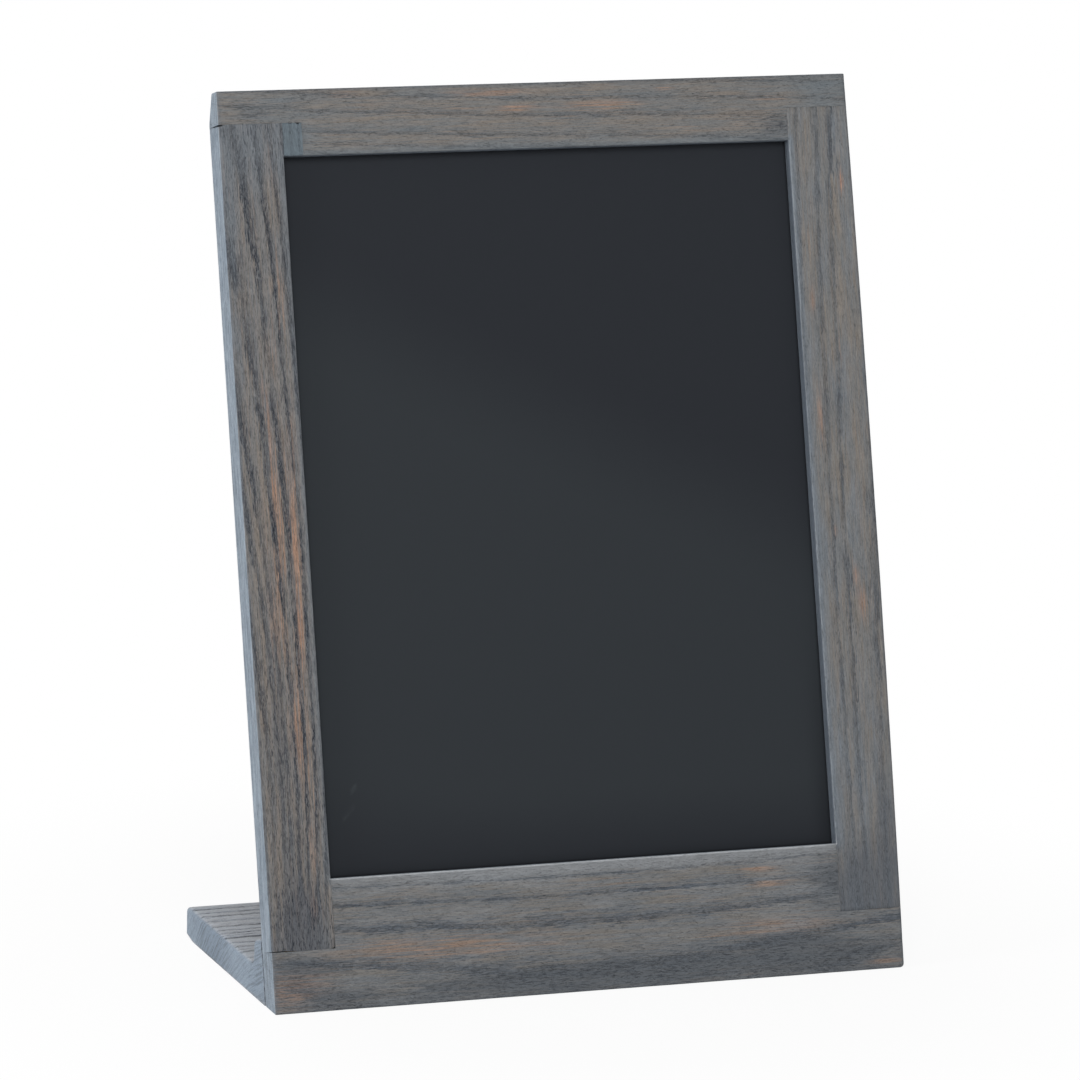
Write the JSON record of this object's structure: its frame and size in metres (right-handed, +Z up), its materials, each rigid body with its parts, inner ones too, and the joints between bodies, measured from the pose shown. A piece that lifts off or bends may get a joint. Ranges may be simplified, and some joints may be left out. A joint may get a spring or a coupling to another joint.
{
  "type": "tabletop chalkboard",
  "caption": "Dark writing sheet in a stained wooden frame that leans back on an L-shaped wooden base, to stand on a table or counter.",
  "frame": {"origin": "centre of the object's box in plan, on the surface that the board stands on", "axes": "+Z up, -Y the way the writing side faces, +X to the right as seen from the front"},
  "size_m": [0.2622, 0.1182, 0.3437],
  "materials": {
    "frame_wood": "grey stain over open-pored wood, rubbed through to brown along the grain",
    "base_wood": "grey stain over open-pored wood",
    "infill_wood": "grey stain on a short block",
    "dowel_wood": "bare beech",
    "writing_surface": "smooth matte charcoal",
    "hardboard": "bare brown hardboard",
    "steel": "plain zinc-bright steel"
  },
  "bodies": {
    "root": {"top_rail": "frame_wood", "bottom_rail": "frame_wood", "left_stile": "frame_wood", "right_stile": "frame_wood", "joint_infill": "infill_wood", "writing_sheet": "writing_surface", "backer_board": "hardboard", "base_plank": "base_wood", "dowel_top_left": "dowel_wood", "dowel_top_right": "dowel_wood", "dowel_bottom_left": "dowel_wood", "dowel_bottom_right": "dowel_wood", "glazing_point_left_1": "steel", "glazing_point_left_2": "steel", "glazing_point_left_3": "steel", "glazing_point_right_1": "steel", "glazing_point_right_2": "steel", "glazing_point_right_3": "steel", "glazing_point_top_1": "steel", "glazing_point_top_2": "steel", "glazing_point_bottom_1": "steel", "glazing_point_bottom_2": "steel", "base_screw_1": "steel", "base_screw_2": "steel", "base_screw_3": "steel"}
  },
  "joints": []
}
